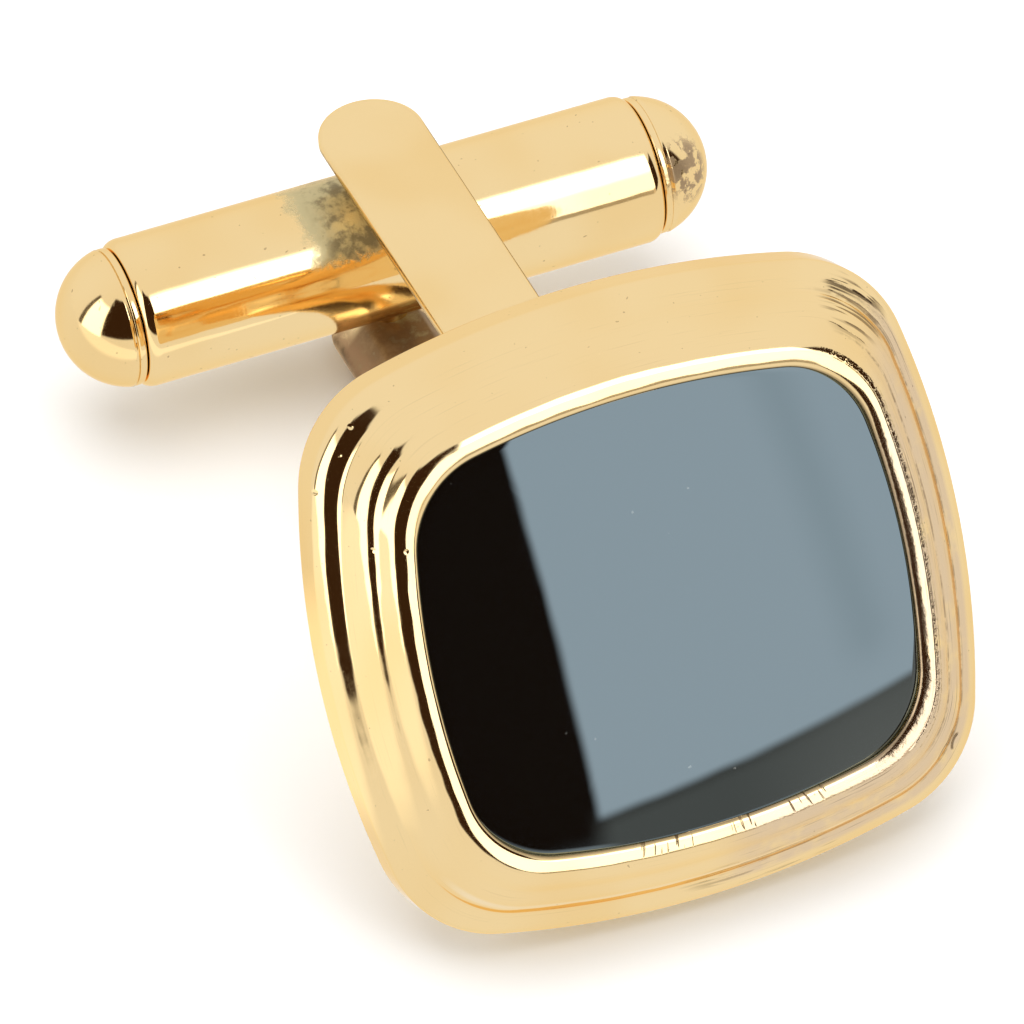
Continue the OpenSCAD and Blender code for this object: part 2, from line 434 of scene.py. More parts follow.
def fork_mesh():
    """Two arms with half-round ends, joined by a bend, in the fork's frame."""
    edge = arm_edge()
    loop = edge + [(-x, v) for x, v in reversed(edge[1:-1])]
    stations = spread(-ARM_PAST, BEND_Z, ARM_STEPS)
    turns = spread(0, math.pi, BEND_STEPS)[1:-1]
    rings = []
    for z in stations:
        rings.append([(x, -(ARM_MIDDLE + v), z) for x, v in loop])
    for turn in turns:
        out = Vector((0, -math.cos(turn), math.sin(turn)))
        rings.append([Vector((x, 0, BEND_Z)) + out * (ARM_MIDDLE + v) for x, v in loop])
    for z in reversed(stations):
        rings.append([(x, ARM_MIDDLE + v, z) for x, v in loop])
    bm = bmesh.new()
    rows = [[bm.verts.new(Vector(p) * MM) for p in ring] for ring in rings]
    for low, high in zip(rows, rows[1:]):
        for i in range(len(loop)):
            j = (i + 1) % len(loop)
            bm.faces.new([low[i], low[j], high[j], high[i]])
    for sign in (-1, 1):
        spokes = []
        for turn in spread(0, math.pi, END_STEPS):
            way = Vector((math.cos(turn), 0, -math.sin(turn)))
            lift = Vector((0, sign, 0))
            end = Vector((0, 0, -ARM_PAST))
            spokes.append([bm.verts.new((end + way * r + lift * (ARM_MIDDLE + v)) * MM) for r, v in edge])
        for a, b in zip(spokes, spokes[1:]):
            for i in range(len(edge) - 1):
                bm.faces.new([a[i], a[i + 1], b[i + 1], b[i]])
    bmesh.ops.remove_doubles(bm, verts=bm.verts, dist=SAME_END_POINT)
    return finish_mesh("fork_arms", bm)


def rounded_box_ring(half_x, half_y, corner, z, steps):
    """A ring of a rounded rectangle at a height."""
    points = []
    for k, (sx, sy) in enumerate(((1, 1), (-1, 1), (-1, -1), (1, -1))):
        for turn in spread(k * math.pi / 2, (k + 1) * math.pi / 2, steps):
            x = sx * (half_x - corner) + corner * math.cos(turn)
            y = sy * (half_y - corner) + corner * math.sin(turn)
            points.append((x, y, z))
    return points


# The stem starts this far above the bend's centre, inside the bend's metal.
STEM_START = 2.5
STEM_CORNER = 0.35
STEM_CORNER_STEPS = 8
# How far the stem's sides stay inside the bend's, so that the two never share a plane.
STEM_INSET = 0.015
STEM_RINGS = 14


def stem_mesh():
    """The stem between the bend and the foot."""
    rings = []
    for z in spread(BEND_Z + STEM_START, BACK_Z + STEM_SINK, STEM_RINGS):
        rings.append(rounded_box_ring(ARM_RADIUS - STEM_INSET, ARM_IN, STEM_CORNER, z, STEM_CORNER_STEPS))
    return loft("fork_stem", rings)


FOOT_ROUND = 0.3
FOOT_STEPS = 8
FOOT_FLARE = 0.18
FOOT_CORNER_STEPS = 20
# The foot's half-round ends are this much short of a full half circle, so that no side is without length.
FOOT_END_SHORT = 1e-4


def foot_ring(grow, z):
    """The oval outline of the foot, grown outward, at a height."""
    half_w = FOOT_WIDTH / 2 + grow
    half_l = FOOT_LENGTH / 2 + grow
    middle = -FORK_DROP + FRAME_DEPTH * math.tan(SLANT)
    ring = rounded_box_ring(half_w, half_l, half_w - FOOT_END_SHORT, z, FOOT_CORNER_STEPS)
    return [(x, y + middle, z) for x, y, _ in ring]


def foot_mesh():
    """The oval foot on the flat back, with a small flare of solder round it."""
    back = -FRAME_DEPTH
    rings = [foot_ring(-FOOT_WIDTH / 4, back - FOOT_THICK)]
    for turn in spread(0, math.pi / 2, FOOT_STEPS):
        rise = FOOT_ROUND * (1 - math.cos(turn))
        rings.append(foot_ring(-FOOT_ROUND * (1 - math.sin(turn)), back - FOOT_THICK + rise))
    for turn in spread(0, math.pi / 2, FOOT_STEPS):
        drop = FOOT_FLARE * (1 - math.sin(turn))
        rings.append(foot_ring(FOOT_FLARE * (1 - math.cos(turn)), back - drop))
    rings.append(foot_ring(FOOT_FLARE, back + FOOT_FLARE))
    return loft("fork_foot", rings)


# The toggle

LATHE_SIDES = 144
BODY_STEPS_PER_MM = 2
BARREL_END_LONG = 0.34
BARREL_END_DEEP = 0.17
BARREL_END_TURN = math.radians(72)
BARREL_END_STEPS = 12
BEAD_START = 0.04
BEAD_WIDTH = 0.22
BEAD_RADIUS = 1.9
BEAD_ROUND = 0.06
BEAD_STEPS = 5
GROOVE_WIDTH = 0.05
GROOVE_DEPTH = 0.07
GROOVE_EDGE = 0.01
DOME_STEPS = 34


def barrel_mesh():
    """The middle of the toggle, with eased ends and a blind socket in each."""
    body = BARREL_HALF - BARREL_END_LONG
    half = [(x, BARREL_RADIUS) for x in spread(0, body, int(body) * BODY_STEPS_PER_MM)[:-1]]
    for turn in spread(0, BARREL_END_TURN, BARREL_END_STEPS):
        short = 1 - math.sin(turn) / math.sin(BARREL_END_TURN)
        deep = (1 - math.cos(turn)) / (1 - math.cos(BARREL_END_TURN))
        half.append((BARREL_HALF - BARREL_END_LONG * short, BARREL_RADIUS - BARREL_END_DEEP * deep))
    socket = BARREL_HALF - SOCKET_LENGTH
    half += [(BARREL_HALF, SOCKET_RADIUS), (socket, SOCKET_RADIUS), (socket, 0.0)]
    left = [(-x, r) for x, r in reversed(half[1:])]
    return lathe("toggle_barrel_gold", left + half, LATHE_SIDES)


def cap_mesh(side):
    """A domed end cap: spigot, a thin bead at the seam, a groove, then the dome."""
    spigot = BARREL_HALF - SOCKET_LENGTH + CAP_GAP
    start = BARREL_HALF + BEAD_START
    profile = [(spigot, 0.0), (spigot, SOCKET_RADIUS - CAP_GAP), (start, SOCKET_RADIUS - CAP_GAP),
               (start, BEAD_RADIUS - BEAD_ROUND)]
    end = start + BEAD_WIDTH
    flat = BEAD_RADIUS - BEAD_ROUND
    turns = spread(0, math.pi / 2, BEAD_STEPS)
    profile += [(start + BEAD_ROUND * (1 - math.cos(a)), flat + BEAD_ROUND * math.sin(a)) for a in turns]
    profile += [(end - BEAD_ROUND * (1 - math.sin(a)), flat + BEAD_ROUND * math.cos(a)) for a in turns]
    profile.append((end + GROOVE_EDGE, BEAD_RADIUS - GROOVE_DEPTH))
    dome_start = end + GROOVE_WIDTH
    middle = TOGGLE_LENGTH / 2 - CAP_RADIUS
    for turn in spread(math.asin((dome_start - middle) / CAP_RADIUS), math.pi / 2, DOME_STEPS)[:-1]:
        profile.append((middle + CAP_RADIUS * math.sin(turn), CAP_RADIUS * math.cos(turn)))
    profile.append((TOGGLE_LENGTH / 2, 0.0))
    mesh = lathe("toggle_cap_gold", profile, LATHE_SIDES)
    if side < 0:
        mesh.transform(Matrix.Scale(-1, 4, Vector((1, 0, 0))))
        mesh.flip_normals()
    return mesh


# Materials

class Web:
    """Builds shader nodes: each call makes a node and links what it is given."""

    def __init__(self, tree):
        self.tree = tree
        tree.nodes.clear()

    def node(self, kind, inputs=None, **settings):
        """A new node, its inputs linked to sockets or set to values."""
        made = self.tree.nodes.new(kind)
        for key, value in settings.items():
            setattr(made, key, value)
        for key, value in (inputs or {}).items():
            socket = made.inputs[key]
            if isinstance(value, bpy.types.NodeSocket):
                self.tree.links.new(value, socket)
            else:
                socket.default_value = value
        return made

    def math(self, operation, a, b=0.0):
        """What a named operation makes of one or two numbers."""
        return self.node("ShaderNodeMath", {0: a, 1: b}, operation=operation).outputs[0]

    def both(self, *masks):
        """Where all the masks are."""
        result = masks[0]
        for mask in masks[1:]:
            result = self.math("MULTIPLY", result, mask)
        return result

    def smooth(self, value, start, full):
        """0 up to the start, 1 from where it is full, smooth between. Full may be the lower of the two."""
        made = self.node("ShaderNodeMapRange", {"Value": value, "From Min": start, "From Max": full},
                         interpolation_type="SMOOTHSTEP")
        return made.outputs["Result"]

    def band(self, value, low, high, soft):
        """1 between low and high, with soft edges."""
        rise = self.smooth(value, low - soft, low + soft)
        return self.both(rise, self.smooth(value, high + soft, high - soft))

    def spot(self, place, centre, size, soft):
        """1 inside an ellipsoid round a centre, fading to 0 at its size."""
        moved = self.node("ShaderNodeMapping", {"Vector": place,
                                                "Location": [-c / s for c, s in zip(centre, size)],
                                                "Scale": [1 / s for s in size]}).outputs[0]
        far = self.node("ShaderNodeVectorMath", {0: moved}, operation="LENGTH").outputs["Value"]
        return self.smooth(far, 1.0, 1.0 - soft)

    def noise(self, place, scale, detail, roughness):
        """Noise about 0.5. A scale of three numbers draws it out."""
        if isinstance(scale, tuple):
            place = self.node("ShaderNodeMapping", {"Vector": place, "Scale": scale}).outputs[0]
            scale = 1.0
        made = self.node("ShaderNodeTexNoise", {"Vector": place, "Scale": scale, "Detail": detail,
                                                "Roughness": roughness})
        return made.outputs["Fac"]

    def patches(self, place, scale, detail, roughness, start, full):
        """1 where noise is above a value, and 0 below another."""
        return self.smooth(self.noise(place, scale, detail, roughness), start, full)

    def range(self, value, low, high, to_low, to_high):
        """A value carried from one range to another."""
        made = self.node("ShaderNodeMapRange", {"Value": value, "From Min": low, "From Max": high,
                                                "To Min": to_low, "To Max": to_high})
        return made.outputs["Result"]

    def mix(self, share, a, b):
        """A colour between two."""
        made = self.node("ShaderNodeMix", {"Factor": share, "A": a, "B": b}, data_type="RGBA")
        return made.outputs["Result"]

    def blend(self, share, a, b):
        """A number between two."""
        return self.node("ShaderNodeMix", {"Factor": share, 2: a, 3: b}, data_type="FLOAT").outputs[0]

    def bump(self, height):
        """The normal of a surface with a relief, whose height is in millimetres."""
        return self.node("ShaderNodeBump", {"Strength": 1.0, "Distance": MM, "Height": height}).outputs[0]

    def mm_place(self):
        """The point's place on its piece, in millimetres."""
        return self.node("ShaderNodeAttribute", attribute_name="place").outputs["Vector"]

    def azimuth(self, way):
        """The azimuth of a direction in degrees, counted as the camera's is, and the direction's parts."""
        split = self.node("ShaderNodeSeparateXYZ", {0: way}).outputs
        back = self.math("MULTIPLY", split["Y"], -1.0)
        return self.math("DEGREES", self.math("ARCTAN2", split["X"], back)), split

    def shade(self, kind, inputs, output="ShaderNodeOutputMaterial"):
        """The shader that the nodes end in."""
        shader = self.node(kind, inputs)
        self.node(output, {"Surface": shader.outputs[0]})


def node_material(name):
    """A material that is made of nodes."""
    material = bpy.data.materials.new(name)
    material.use_nodes = True
    return material


GOLD = (0.93, 0.70, 0.365, 1.0)
GOLD_DEEP = (0.91, 0.655, 0.31, 1.0)
# Colour that the metal takes on where it is seen edge-on.
GRAZING = (1.0, 0.86, 0.62, 1.0)
# Paler gold, painted on as light along a bank at the bottom.
PAINTED_PALE_LIGHT = (0.95, 0.80, 0.56, 1.0)
WORN = (0.75, 0.575, 0.39, 1.0)
# Dark brown for dirt, scratches, nicks and specks, for dark lines along the fork's edges, and for painted
# shade beside the stone.
GRIME_AND_SHADE = (0.10, 0.055, 0.025, 1.0)
# Green-grey and dark olive: tarnish on the fork, and the matte patch on the barrel beside the arm.
OLIVE_GREY = (0.44, 0.40, 0.23, 1.0)
OLIVE_DARK = (0.17, 0.135, 0.07, 1.0)
# Browns of the lower arm: partly tarnish, partly painted shade under the barrel.
BROWN = (0.36, 0.21, 0.11, 1.0)
BROWN_DEEP = (0.15, 0.075, 0.035, 1.0)
STAIN = (0.27, 0.18, 0.11, 1.0)
# Orange for a painted reflection of the gold arm in the barrel.
AMBER_PAINTED_REFLECTION = (0.85, 0.42, 0.12, 1.0)
STONE_BLACK = (0.0015, 0.0017, 0.002, 1.0)
STONE_DUST = (0.12, 0.12, 0.11, 1.0)
STONE_SHEEN = (0.76, 0.94, 1.0, 1.0)

# Roughness of polished and of satin metal, where the grain is fine and where it is coarse.
POLISHED = (0.055, 0.10)
SATIN = (0.16, 0.26)
# The values that noise mostly lies between.
NOISE_SPREAD = (0.3, 0.7)

# Noises: repeats per millimetre, detail and roughness.
GRAIN = (9.0, 3.0, 0.65)
FACE_WAVE = (0.7, 1.0, 0.4)
FACE_DRAWN = ((0.8, 4.0, 1.0), 1.0, 0.5)
FACE_SKIN = (5.0, 3.0, 0.6)
FORK_WAVE = (0.7, 1.0, 0.5)
FORK_BRUSHED = ((22.0, 22.0, 0.8), 1.0, 0.5)
FORK_MOTTLING = (1.3, 5.0, 0.65)
TOGGLE_WAVE = (0.8, 1.0, 0.5)
TOGGLE_TURNED = ((16.0, 0.6, 0.6), 1.0, 0.5)
TOGGLE_MOTTLING = (1.6, 5.0, 0.65)
TOGGLE_FINE = (5.0, 3.0, 0.6)
STONE_HAZE = (1.2, 3.0, 0.5)
STONE_WAVE = (0.5, 1.0, 0.5)

# Noises that show as patches: the same, then the value at which a patch starts and the one where it is full.
CLOUDS = (0.3, 1.0, 0.5, 0.4, 0.75)
RUBS = (0.9, 3.0, 0.6, 0.22, 0.50)
SCRATCHES = ((0.35, 20.0, 1.0), 2.0, 0.6, 0.60, 0.72)
DIRT = (2.2, 3.0, 0.7, 0.38, 0.60)
NICKS = ((7.0, 0.6, 1.0), 1.0, 0.5, 0.57, 0.63)
FACE_SPECKS = (7.0, 1.0, 0.5, 0.77, 0.80)
CORNER_STREAKS = ((0.45, 6.0, 1.0), 2.0, 0.5, 0.50, 0.58)
LOW_STREAKS = ((0.45, 6.0, 1.0), 2.0, 0.5, 0.54, 0.62)
BLOTCHES = (2.6, 4.0, 0.6, 0.44, 0.52)
TOGGLE_SPECKS = (6.0, 1.0, 0.5, 0.74, 0.78)
DUST = (5.0, 0.0, 0.5, 0.88, 0.92)


class Metal(Web):
    """Gold plate, on which marks are laid one by one before it is finished."""

    def __init__(self, name, roughness):
        self.material = node_material(name)
        super().__init__(self.material.node_tree)
        self.place = self.mm_place()
        split = self.node("ShaderNodeSeparateXYZ", {0: self.place}).outputs
        self.x, self.y, self.z = split["X"], split["Y"], split["Z"]
        self.colour = self.mix(self.patches(self.place, *CLOUDS), GOLD, GOLD_DEEP)
        self.rough = self.range(self.noise(self.place, *GRAIN), *NOISE_SPREAD, *roughness)
        self.metal = 1.0
        self.height = 0.0

    def lay(self, mask, colour, rough=None, metal=None, strength=1.0):
        """Cover the metal with a colour where the mask is."""
        mask = self.math("MULTIPLY", mask, strength)
        self.colour = self.mix(mask, self.colour, colour)
        if rough is not None:
            self.rough = self.blend(mask, self.rough, rough)
        if metal is not None:
            self.metal = self.blend(mask, self.metal, metal)

    def raise_by(self, value, millimetres):
        """Add a height for the bump."""
        self.height = self.math("ADD", self.height, self.math("MULTIPLY", value, millimetres))

    def finish(self):
        """The material, once all the marks are laid."""
        self.shade("ShaderNodeBsdfPrincipled", {"Base Color": self.colour, "Metallic": self.metal,
                                                "Roughness": self.rough, "Normal": self.bump(self.height),
                                                "Specular Tint": GRAZING})
        return self.material


# The frame's finish. Its zones lie across it, as shares of the way from its outer line to the stone's
# opening, or at places on the face in millimetres. Two numbers are where a zone starts and where it is full,
# and three are its two ends and how soft they are.
FACE_WAVE_HEIGHT = 0.035
FACE_DRAWN_HEIGHT = 0.003
FACE_SKIN_HEIGHT = 0.006
TIERS_ACROSS = (0.12, 0.20)
RUB_SLANT = 0.35
RUB_RIGHT = (4.4, 6.2)
RUB_LOW_X = (-0.4, 1.6)
RUB_LOW_Y = (-5.4, -6.2)
SCRATCHED_EVERYWHERE = 0.12
# Where the paler band of painted light lies: across the frame, and up the face.
LOWER_BANK_ACROSS = (0.37, 0.43, 0.02)
LOWER_BANK_Y = (-5.2, -6.2)
DIRT_X = (5.6, 6.9)
LIP_ACROSS = (0.90, 0.94)
LIP_INSIDE_ACROSS = (1.04, 1.068)
SHOULDER_ACROSS = (0.80, 0.88, 0.012)
SHOULDER_X = (5.2, 6.0)
SHOULDER_HEIGHT = 0.03
# Groups of nicks low on the lip, as low end, high end and softness.
NICK_GROUPS_X = ((-2.1, -0.6, 0.3), (0.6, 3.0, 0.4))
NICKS_Y = (-5.0, -5.6)
NICK_DEPTH = 0.01
# Streaked places: centre, size and softness.
CORNER_STREAKED = ((6.9, 6.1, -1.1), (1.3, 1.2, 1.2), 0.5)
CORNER_STREAK_DEPTH = 0.008
LOW_STREAKED = ((1.6, -7.5, -1.4), (2.8, 0.7, 1.2), 0.3)
LOW_STREAK_DEPTH = 0.006
# Small pits beside the upper left corner, across and up the face.
PITS = ((-8.1, 5.23), (-7.33, 6.08), (-6.86, 6.7), (-6.57, 3.57), (-7.27, 3.69), (-6.28, 4.86))
PIT_Z = -0.9
PIT_SIZE = (0.09, 0.09, 3.0)
PIT_DEPTH = 0.014
# Curved gouges near the lower right corner: centre of the curve, its radius and the mark's reach along it.
GOUGES = (
    ((7.36, -5.92, -1.0), 0.55, 0.34),
    ((7.67, -6.27, -1.2), 0.6, 0.28),
    ((7.03, -6.22, -1.0), 0.5, 0.3),
)
GOUGE_DEPTH = 0.012
# Distances from the curve at which a gouge starts and is full.
GOUGE_SIDES = (0.05, 0.015)
# How far the curve wavers, and the shift that keeps it about the radius.
GOUGE_WOBBLE = 0.25
GOUGE_SHIFT = 0.12
# The middle of the mark, in radii from the centre of its curve.
GOUGE_BESIDE = (-0.8, 0.5)
GOUGE_REACH_Z = 3.0
GOUGE_SOFT = 0.3


def gouge_mask(metal, wave, centre, radius, reach):
    """1 on a thin wavering arc about a centre, over the part of it near a point beside the centre."""
    away = metal.node("ShaderNodeVectorMath", {0: metal.place, 1: centre}, operation="DISTANCE")
    far = metal.math("ADD", away.outputs["Value"], metal.math("MULTIPLY", wave, GOUGE_WOBBLE))
    off = metal.math("ABSOLUTE", metal.math("SUBTRACT", far, radius + GOUGE_SHIFT))
    beside = (centre[0] + radius * GOUGE_BESIDE[0], centre[1] + radius * GOUGE_BESIDE[1], centre[2])
    near = metal.spot(metal.place, beside, (reach, reach, GOUGE_REACH_Z), GOUGE_SOFT)
    return metal.both(metal.smooth(off, *GOUGE_SIDES), near)


def wear_tiers(metal, uv, across, skin):
    """The rubbed right side and lower edge, their drawn scratches, a paler band of painted light on a steep
    bank along the bottom, and dirt at the feet of the banks.
    """
    slanted = metal.math("SUBTRACT", metal.x, metal.math("MULTIPLY", metal.y, RUB_SLANT))
    low = metal.both(metal.smooth(metal.x, *RUB_LOW_X), metal.smooth(metal.y, *RUB_LOW_Y))
    rubbed = metal.math("MAXIMUM", metal.smooth(slanted, *RUB_RIGHT), low)
    tiers = metal.smooth(across, *TIERS_ACROSS)
    metal.lay(metal.both(rubbed, metal.patches(metal.place, *RUBS), tiers), WORN, rough=0.16, strength=0.85)
    metal.raise_by(metal.both(metal.math("SUBTRACT", skin, 0.5), rubbed), FACE_SKIN_HEIGHT)

    scratched = metal.math("MAXIMUM", rubbed, SCRATCHED_EVERYWHERE)
    scratched = metal.both(metal.patches(uv, *SCRATCHES), scratched, tiers)
    metal.lay(scratched, GRIME_AND_SHADE, rough=0.3, strength=0.6)

    # Painted light: a steep bank along the bottom is paled, in place of a brighter reflection there.
    painted_pale_band = metal.both(metal.band(across, *LOWER_BANK_ACROSS), metal.smooth(metal.y, *LOWER_BANK_Y))
    metal.lay(painted_pale_band, PAINTED_PALE_LIGHT, strength=0.75)
    foot = metal.node("ShaderNodeAttribute", attribute_name="foot").outputs["Fac"]
    dirt = metal.both(foot, metal.smooth(metal.x, *DIRT_X), metal.patches(metal.place, *DIRT))
    metal.lay(dirt, GRIME_AND_SHADE, rough=0.35, strength=0.6)


def wear_lip(metal, uv, across, skin):
    """Painted shade as a dark line beside the stone, the rough shoulder at the right and the nicks low on
    the lip.
    """
    # Painted shade: the lip's rounded inner edge is darkened where it meets the stone.
    metal.lay(metal.smooth(across, *LIP_INSIDE_ACROSS), GRIME_AND_SHADE, rough=0.3, strength=0.6)
    shoulder = metal.both(metal.band(across, *SHOULDER_ACROSS), metal.smooth(metal.x, *SHOULDER_X))
    metal.raise_by(metal.both(shoulder, skin), SHOULDER_HEIGHT)
    groups = metal.math("MAXIMUM", *(metal.band(metal.x, *group) for group in NICK_GROUPS_X))
    here = metal.both(groups, metal.smooth(metal.y, *NICKS_Y), metal.smooth(across, *LIP_ACROSS))
    nicks = metal.both(here, metal.patches(uv, *NICKS))
    metal.lay(nicks, GRIME_AND_SHADE, rough=0.3, strength=0.85)
    metal.raise_by(nicks, -NICK_DEPTH)


def face_material():
    """The frame: drawn out along its outline, rubbed at the lower right, nicked along the lip, with painted
    shade beside the stone and a paler band of painted light low down.
    """
    metal = Metal("face_gold", POLISHED)
    uv = metal.node("ShaderNodeUVMap", uv_map="along").outputs[0]
    across = metal.node("ShaderNodeAttribute", attribute_name="across").outputs["Fac"]
    wave = metal.noise(metal.place, *FACE_WAVE)
    skin = metal.noise(metal.place, *FACE_SKIN)
    metal.raise_by(wave, FACE_WAVE_HEIGHT)
    metal.raise_by(metal.noise(uv, *FACE_DRAWN), FACE_DRAWN_HEIGHT)
    wear_tiers(metal, uv, across, skin)
    wear_lip(metal, uv, across, skin)
    metal.lay(metal.patches(metal.place, *FACE_SPECKS), GRIME_AND_SHADE, rough=0.4, strength=0.35)
    streaks = metal.both(metal.spot(metal.place, *CORNER_STREAKED), metal.patches(uv, *CORNER_STREAKS))
    metal.lay(streaks, GRIME_AND_SHADE, rough=0.3, strength=0.7)
    metal.raise_by(streaks, -CORNER_STREAK_DEPTH)
    streaks = metal.both(metal.spot(metal.place, *LOW_STREAKED), metal.patches(uv, *LOW_STREAKS))
    metal.lay(streaks, GRIME_AND_SHADE, rough=0.3, strength=0.35)
    metal.raise_by(streaks, -LOW_STREAK_DEPTH)
    for x, y in PITS:
        metal.raise_by(metal.spot(metal.place, (x, y, PIT_Z), PIT_SIZE, 1.0), -PIT_DEPTH)
    for gouge in GOUGES:
        mask = gouge_mask(metal, wave, *gouge)
        metal.lay(mask, GRIME_AND_SHADE, rough=0.35, strength=0.75)
        metal.raise_by(mask, -GOUGE_DEPTH)
    return metal.finish()


# The fork's finish. The barrel's axis is at z = 0, z grows towards the bend, and the lower arm is where y is
# below 0. Two numbers are where a zone starts and where it is full, or the same for the mottling in it. The
# inside is covered the more, the higher the mottling is.
FORK_WAVE_HEIGHT = 0.012
FORK_BRUSHED_HEIGHT = 0.0012
LOWER_ARM_Y = (0.6, -0.4)
INSIDE_FROM_Z = (0.0, 0.4)
INSIDE_TO_Z = (2.6, 2.0)
INSIDE_SPREAD = (0.3, 0.6)
INSIDE_COVER = (0.8, 1.0)
INSIDE_TARNISHED = (0.50, 0.66)
BEVEL_X = (ARM_INNER_HALF, ARM_RADIUS - 0.15)
BEVEL_Z = (3.4, 2.4)
BEVEL_BROWN = (0.30, 0.50)
BEVEL_TARNISHED = (0.54, 0.66)
EDGE_X = (ARM_RADIUS - 0.16, ARM_RADIUS - 0.02)
EDGE_Y = (ARM_OUT - 0.25, ARM_OUT - 0.4)
EDGE_Z = (BEND_Z - 1.0, BEND_Z - 3.0)
EDGE_DARKENED = (0.35, 0.65)
RIM_X = (ARM_RADIUS - 0.08, ARM_RADIUS - 0.05)
RIM_Y = (0.0, 0.5)
RIM_Z = (-0.4, 0.4)


def fork_material():
    """The fork: satin, with brown and grey tarnish low down and in the corners next to the barrel, whose
    dark brown is also painted shade, and darker lines along its edges.
    """
    metal = Metal("fork_gold", SATIN)
    metal.raise_by(metal.noise(metal.place, *FORK_WAVE), FORK_WAVE_HEIGHT)
    metal.raise_by(metal.noise(metal.place, *FORK_BRUSHED), FORK_BRUSHED_HEIGHT)
    mottled = metal.noise(metal.place, *FORK_MOTTLING)
    across = metal.math("ABSOLUTE", metal.x)
    lower = metal.smooth(metal.y, *LOWER_ARM_Y)

    # Inside of the lower arm under the barrel: dark brown that is partly tarnish and partly painted shade,
    # with grey tarnish patches.
    inside = metal.both(lower, metal.smooth(metal.z, *INSIDE_FROM_Z), metal.smooth(metal.z, *INSIDE_TO_Z))
    shade_and_tarnish = metal.both(inside, metal.range(mottled, *INSIDE_SPREAD, *INSIDE_COVER))
    metal.lay(shade_and_tarnish, BROWN_DEEP, rough=0.5, metal=0.45, strength=0.95)
    tarnished = metal.both(inside, metal.smooth(mottled, *INSIDE_TARNISHED))
    metal.lay(tarnished, OLIVE_GREY, rough=0.5, metal=0.5, strength=0.6)

    # Bevel of the lower arm near the barrel: brown that is partly tarnish and partly painted shade, with
    # darker tarnish patches.
    bevel = metal.both(lower, metal.smooth(across, *BEVEL_X), metal.smooth(metal.z, *BEVEL_Z))
    brown = metal.both(bevel, metal.smooth(mottled, *BEVEL_BROWN))
    metal.lay(brown, BROWN, rough=0.38, metal=0.75, strength=0.85)
    tarnished = metal.both(bevel, metal.smooth(mottled, *BEVEL_TARNISHED))
    metal.lay(tarnished, OLIVE_DARK, rough=0.5, metal=0.6, strength=0.5)

    # Darker along the lower part of the arms' upright edges, broken up by the mottling.
    edge = metal.both(metal.smooth(across, *EDGE_X), metal.smooth(metal.math("ABSOLUTE", metal.y), *EDGE_Y),
                      metal.smooth(metal.z, *EDGE_Z))
    metal.lay(metal.both(edge, metal.smooth(mottled, *EDGE_DARKENED)), GRIME_AND_SHADE, rough=0.4, strength=0.7)
    # A dark line along the upper arm's edge on the +x side.
    rim = metal.both(metal.smooth(metal.x, *RIM_X), metal.smooth(metal.y, *RIM_Y),
                     metal.smooth(metal.z, *RIM_Z))
    metal.lay(rim, GRIME_AND_SHADE, rough=0.35, strength=0.75)
    return metal.finish()


# The toggle's finish: x runs along the barrel, two numbers are where a zone starts and where it is full, and
# three are its two ends and how soft they are. A wobble is how far the patch's edge wavers to either side.
TOGGLE_WAVE_HEIGHT = 0.010
TOGGLE_TURNED_HEIGHT = 0.0003
PATCH_FROM_X = (-2.75, -2.25)
PATCH_TO_X = (2.0, 1.3)
PATCH_WOBBLE_X = (-0.3, 0.3)
PATCH_Y = (1.0, 1.3)
PATCH_WOBBLE_Y = (-0.12, 0.12)
PATCH_Z = (-1.5, -0.5)
DARK_X = (-2.35, -1.7)
DARK_SHOWS = (0.44, 0.60)
CRUST_X = (-2.3, 1.8, 0.2)
CRUST_Y = (1.0, 1.3)
CRUST_HEIGHT = 0.015
# Spots: centre, size and softness.
# Painted reflection: an orange spot right of the arm stands in for the arm's gold reflected in the barrel.
AMBER_REFLECTION_SPOT = ((1.85, 0.9, 1.85), (0.55, 0.3, 0.4), 0.5)
CAP_STAINED = ((8.2, 0.6, 1.3), (0.9, 1.1, 0.95), 0.4)


